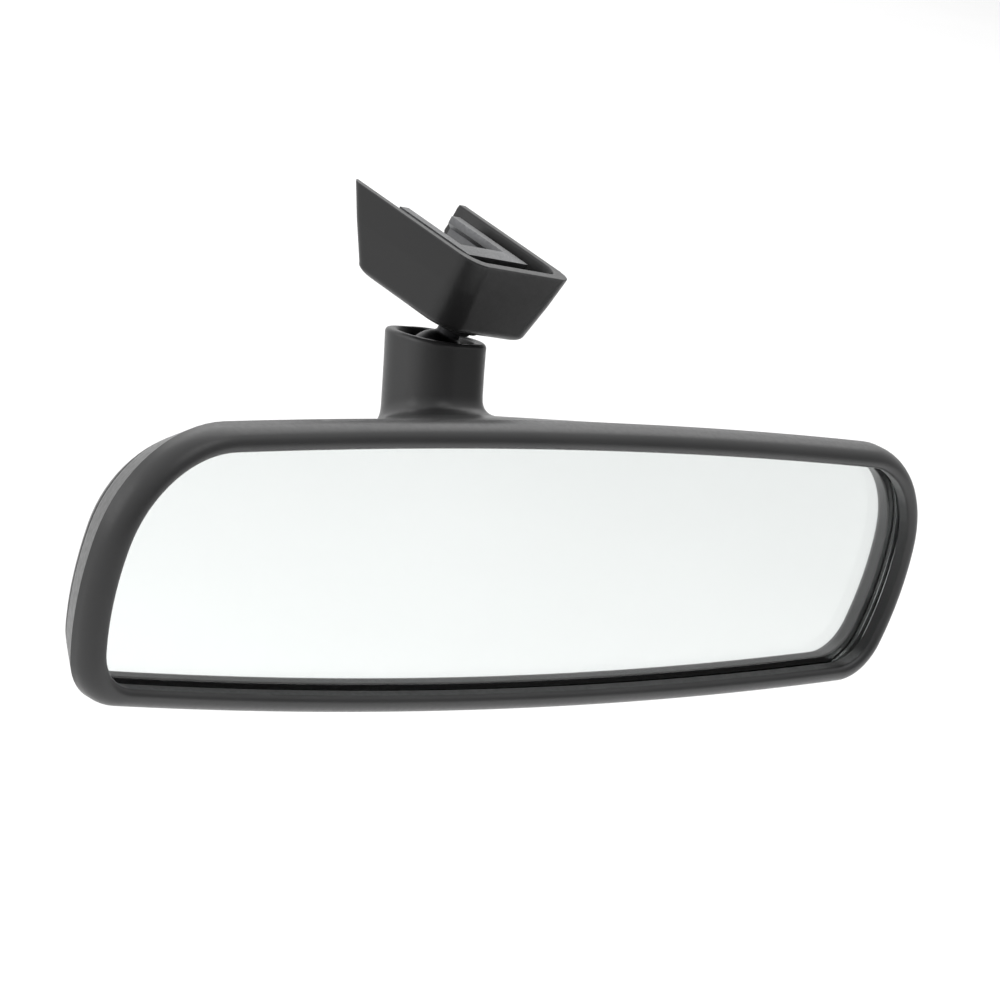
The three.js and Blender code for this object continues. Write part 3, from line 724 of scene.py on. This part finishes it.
def spring_clip():
    front, back, thick = CLIP["front"], CLIP["back"], CLIP["thick"]
    low = CHANNEL["floor_top"] + GAP
    under = [(front, low), (front + 5.6, low)]
    under += curve_points((front + 5.6, low), (front + 8.4, low + 3.6), (back, low + 2.6))
    over = [(back, low + 2.6 + thick)]
    over += curve_points(over[0], (front + 8.0, low + 4.6), (front + 5.2, low + thick))
    over.append((front, low + thick))
    half = CLIP["width"] / 2
    body = prism("steel_clip", under + over, -half, half)
    at(body, Matrix(((0, 1, 0, 0), (1, 0, 0, 0), (0, 0, 1, 0), (0, 0, 0, 1))))
    body.data.flip_normals()
    bevelled(body, 0.12, 2)
    return cut(body, on_clip_screw(rod("hole", CLIP_SCREW["shank_r"] + GAP, -30, 0, 24)))


def cross_recess(radius, low, high):
    """A cross-shaped cutter for a screw's head."""
    slot = radius * 0.62
    thin = radius * 0.16
    one = box_solid("slot", (-slot, slot), (-thin, thin), (low, high))
    return joined(one, box_solid("slot", (-thin, thin), (-slot, slot), (low + 0.01, high + 0.01)))


def clip_screw():
    under, head_r, head_h = CLIP_SCREW["under"], CLIP_SCREW["head_r"], CLIP_SCREW["head_h"]
    shank = CLIP_SCREW["shank_r"]
    foot = CHANNEL["floor"] + 0.3
    top = under + head_h
    profile = [(0, foot), (shank, foot), (shank, under), (head_r - 0.15, under), (head_r, under + 0.15)]
    profile += [(head_r, under + 0.5), (head_r * 0.88, top - 0.15), (head_r * 0.6, top), (0, top)]
    body = turned("zinc_clip_screw", profile, 48)
    cut(body, cross_recess(head_r, top - 0.6, top + 1))
    return on_clip_screw(body)


# ---- materials -----------------------------------------------------------------------------
def shader(name, colour, roughness, metallic=0.0):
    made = bpy.data.materials.new(name)
    made.use_nodes = True
    surface = made.node_tree.nodes["Principled BSDF"]
    surface.inputs["Base Color"].default_value = (*colour, 1)
    surface.inputs["Roughness"].default_value = roughness
    surface.inputs["Metallic"].default_value = metallic
    return made, surface


def noise(material, scale, detail=3.0, stretch=(1, 1, 1)):
    """A noise in the object's own coordinates, with scale in cycles per metre."""
    nodes, links = material.node_tree.nodes, material.node_tree.links
    place = nodes.new("ShaderNodeTexCoord")
    turn = nodes.new("ShaderNodeMapping")
    turn.inputs["Scale"].default_value = stretch
    texture = nodes.new("ShaderNodeTexNoise")
    texture.inputs["Scale"].default_value = scale
    texture.inputs["Detail"].default_value = detail
    links.new(place.outputs["Object"], turn.inputs["Vector"])
    links.new(turn.outputs["Vector"], texture.inputs["Vector"])
    return texture.outputs["Fac"]


def ramp(material, value, low, high):
    """Turns a noise about 0.5 into numbers or colours from low to high."""
    nodes, links = material.node_tree.nodes, material.node_tree.links
    made = nodes.new("ShaderNodeValToRGB")
    made.color_ramp.elements[0].position = 0.3
    made.color_ramp.elements[1].position = 0.7
    made.color_ramp.elements[0].color = (*low, 1)
    made.color_ramp.elements[1].color = (*high, 1)
    links.new(value, made.inputs["Fac"])
    return made.outputs["Color"]


def bump(material, surface, layers):
    """Adds bump layers of (noise output, height in metres)."""
    nodes, links = material.node_tree.nodes, material.node_tree.links
    before = None
    for value, height in layers:
        step = nodes.new("ShaderNodeBump")
        step.inputs["Strength"].default_value = 1.0
        step.inputs["Distance"].default_value = height
        links.new(value, step.inputs["Height"])
        if before is not None:
            links.new(before, step.inputs["Normal"])
        before = step.outputs["Normal"]
    links.new(before, surface.inputs["Normal"])


def grained_plastic(name, tone, roughness, grain):
    """Moulded plastic: fine pebble grain, slight variation of tone and gloss."""
    material, surface = shader(name, (tone, tone, tone * 1.02), roughness)
    links = material.node_tree.links
    broad = noise(material, 35, 2)
    low, high = tone * 0.9, tone * 1.1
    links.new(ramp(material, broad, (low, low, low * 1.02), (high, high, high * 1.02)),
              surface.inputs["Base Color"])
    gloss = noise(material, 900, 2)
    links.new(ramp(material, gloss, (roughness - 0.04,) * 3, (roughness + 0.05,) * 3),
              surface.inputs["Roughness"])
    bump(material, surface, [(noise(material, 2600, 2), grain), (noise(material, 60, 2), grain * 2)])
    return material


def metal(name, colour, roughness, stretch=(1, 1, 1)):
    """Plated or brushed metal: stretched fine scratches, patchy gloss."""
    material, surface = shader(name, colour, roughness, 1.0)
    links = material.node_tree.links
    scratch = noise(material, 1800, 4, stretch)
    links.new(ramp(material, scratch, (roughness * 0.75,) * 3, (roughness * 1.35,) * 3),
              surface.inputs["Roughness"])
    patch = noise(material, 160, 3)
    dull = tuple(c * 0.82 for c in colour)
    links.new(ramp(material, patch, dull, colour), surface.inputs["Base Color"])
    bump(material, surface, [(scratch, 0.000006)])
    return material


def soft_material(name, colour, roughness, scale, height):
    """Nylon, rubber or foam: a base colour, fine texture and bump."""
    material, surface = shader(name, colour, roughness)
    links = material.node_tree.links
    value = noise(material, scale, 4)
    dark = tuple(c * 0.85 for c in colour)
    links.new(ramp(material, value, dark, colour), surface.inputs["Base Color"])
    bump(material, surface, [(value, height)])
    return material


def clear_glass():
    material, surface = shader("mirror_glass", (0.97, 0.985, 0.978), 0.0)
    surface.inputs["Transmission Weight"].default_value = 1.0
    surface.inputs["IOR"].default_value = 1.52
    bump(material, surface, [(noise(material, 9, 1), 0.000002)])
    return material


def silver():
    material, surface = shader("mirror_silver", (0.95, 0.953, 0.955), 0.01, 1.0)
    patch = noise(material, 12, 2)
    material.node_tree.links.new(ramp(material, patch, (0.94, 0.943, 0.945), (0.96, 0.963, 0.965)),
                                 surface.inputs["Base Color"])
    return material


MATERIALS = {
    "housing_plastic": grained_plastic("housing_plastic", 0.03, 0.34, 0.00001),
    # mount_plastic is darker than housing_plastic: partly the mount's own darker plastic, partly painted shade for
    # the shade the mount and its boss sit in.
    "mount_plastic": grained_plastic("mount_plastic", 0.012, 0.36, 0.00001),
    "inner_plastic": grained_plastic("inner_plastic", 0.03, 0.55, 0.00001),
    "mirror_glass": clear_glass(),
    "mirror_silver": silver(),
    "foam": soft_material("foam", (0.05, 0.05, 0.052), 0.95, 1500, 0.00008),
    "steel": metal("steel", (0.5, 0.51, 0.52), 0.26, (1, 1, 8)),
    # black_steel is near-black steel: partly a dark finish, partly painted shade, so that the ball stud and the
    # socket sleeve in the neck's shaded mouth read dark.
    "black_steel": metal("black_steel", (0.035, 0.035, 0.037), 0.36, (1, 1, 8)),
    "zinc": metal("zinc", (0.16, 0.162, 0.166), 0.38),
    "nylon": soft_material("nylon", (0.62, 0.6, 0.53), 0.45, 700, 0.00001),
    "rubber": soft_material("rubber", (0.015, 0.015, 0.016), 0.75, 1200, 0.00002),
}


def place(obj, local, body, slot, *nodes, angle=32):
    """Puts a finished piece in the row frame, on its body, with its finish."""
    at(obj, local)
    smooth_shaded(obj, angle)
    obj.data.materials.clear()
    obj.data.materials.append(MATERIALS[slot])
    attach(obj, body)
    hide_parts(*nodes)


def build_head():
    place(front_frame(), HEAD, "mirror_head", "housing_plastic", "front_frame")
    place(rear_cover(), HEAD, "mirror_head", "housing_plastic", "rear_cover")
    place(pane("clear_pane", GLASS), HEAD, "mirror_head", "mirror_glass", "mirror_glass")
    place(pane("silver_layer", COATING), HEAD, "mirror_head", "mirror_silver", "mirror_coating")
    place(socket_sleeve(), HEAD, "mirror_head", "black_steel", "socket_sleeve")


def build_mount():
    place(mount_cover(), MOUNT, "mount", "mount_plastic", "mount_cover", angle=60)
    place(mount_channel(), MOUNT, "mount", "zinc", "mount_channel")
    place(ball_stud(), MOUNT, "mount", "black_steel", "ball_stud")
    place(stud_nut(), MOUNT, "mount", "zinc", "stud_nut")
    place(lock_washer(), MOUNT, "mount", "steel", "lock_washer")
    place(spring_clip(), MOUNT, "mount", "steel", "spring_clip")
    place(clip_screw(), MOUNT, "mount", "zinc", "clip_screw")
    place(dust_ring(), MOUNT, "swivel_ring", "rubber", "dust_ring")


def finish_cad_nodes():
    """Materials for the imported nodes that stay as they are."""
    for part in frame["record"]["subparts"]:
        node = frame["nodes"][part["node"]]
        node.data.materials.clear()
        node.data.materials.append(MATERIALS[part["material_slot"]])
        if not node.hide_render:
            node.data.shade_smooth()
            node.data.set_sharp_from_angle(angle=math.radians(32))


# ---- stage ---------------------------------------------------------------------------------
CAMERA = {
    "azimuth": math.radians(49.21),
    "elevation": math.radians(13.70),
    "roll": math.radians(16.11),
    "distance": 0.8902,
    "across": 0.00969,
    "up": -0.01499,
    "lens": 153.7,
    "sensor": 36,
}
FLOOR_Z = -0.45
FLOOR_HALF = 15
# World light: its strength is mean + swing times how far a direction faces the bright side.
SKY = {"bright_side": (-0.2, 0.85, 0.45), "mean": 0.66, "swing": 0.6}


def add_camera():
    """The camera looks at the window's middle, from the side the glass faces."""
    azimuth, elevation, roll = CAMERA["azimuth"], CAMERA["elevation"], CAMERA["roll"]
    ahead = Vector((math.sin(azimuth) * math.cos(elevation), math.cos(azimuth) * math.cos(elevation),
                    -math.sin(elevation)))
    level_right = Vector((math.cos(azimuth), -math.sin(azimuth), 0))
    level_up = level_right.cross(ahead)
    right = math.cos(roll) * level_right + math.sin(roll) * level_up
    up = math.cos(roll) * level_up - math.sin(roll) * level_right
    back = ahead * CAMERA["distance"]
    spot = HEAD.translation - back - up * CAMERA["up"] - right * CAMERA["across"]
    camera = bpy.data.objects.new("camera", bpy.data.cameras.new("camera"))
    camera.data.lens = CAMERA["lens"]
    camera.data.sensor_width = CAMERA["sensor"]
    turn = Matrix((right, up, -ahead)).transposed().to_4x4()
    camera.matrix_world = Matrix.Translation(spot) @ turn
    bpy.context.scene.collection.objects.link(camera)
    bpy.context.scene.camera = camera


def add_floor():
    signs = ((-1, -1), (1, -1), (1, 1), (-1, 1))
    corners = [(sx * FLOOR_HALF, sy * FLOOR_HALF, FLOOR_Z) for sx, sy in signs]
    floor = new_object("floor", corners, [(0, 1, 2, 3)])
    material, surface = shader("floor", (0.9, 0.9, 0.9), 0.8)
    patch = noise(material, 3, 2)
    material.node_tree.links.new(ramp(material, patch, (0.89,) * 3, (0.91,) * 3),
                                 surface.inputs["Base Color"])
    floor.data.materials.append(material)


def softbox(name, spot, target, size, power, spread=180):
    """A soft area light at spot that faces target."""
    lamp = bpy.data.lights.new(name, "AREA")
    lamp.shape = "RECTANGLE"
    lamp.size, lamp.size_y = size
    lamp.energy = power
    lamp.spread = math.radians(spread)
    obj = bpy.data.objects.new(name, lamp)
    obj.location = spot
    obj.rotation_euler = (Vector(target) - Vector(spot)).to_track_quat("-Z", "Y").to_euler()
    bpy.context.scene.collection.objects.link(obj)


def add_light():
    world = bpy.data.worlds.new("studio")
    bpy.context.scene.world = world
    world.use_nodes = True
    nodes, links = world.node_tree.nodes, world.node_tree.links
    place = nodes.new("ShaderNodeTexCoord")
    toward = nodes.new("ShaderNodeVectorMath")
    toward.operation = "DOT_PRODUCT"
    toward.inputs[1].default_value = SKY["bright_side"]
    level = nodes.new("ShaderNodeMath")
    level.operation = "MULTIPLY_ADD"
    level.inputs[1].default_value = SKY["swing"]
    level.inputs[2].default_value = SKY["mean"]
    links.new(place.outputs["Generated"], toward.inputs[0])
    links.new(toward.outputs["Value"], level.inputs[0])
    links.new(level.outputs["Value"], nodes["Background"].inputs["Strength"])
    nodes["Background"].inputs["Color"].default_value = (1, 1, 1, 1)
    bpy.context.scene.view_settings.view_transform = "Standard"
    softbox("back_light", (2.0, 1.9, 2.4), (2.2, 2.0, FLOOR_Z), (4, 4), 60)
    softbox("pool_light", (0.3, -0.9, 0.8), (0.3, -0.9, FLOOR_Z), (1.0, 1.0), 2.5, 110)
    softbox("left_light", (-1.3, 0.7, 0.5), (0, 0, 0), (0.9, 0.9), 2.5)


build_head()
build_mount()
finish_cad_nodes()
add_camera()
add_floor()
add_light()
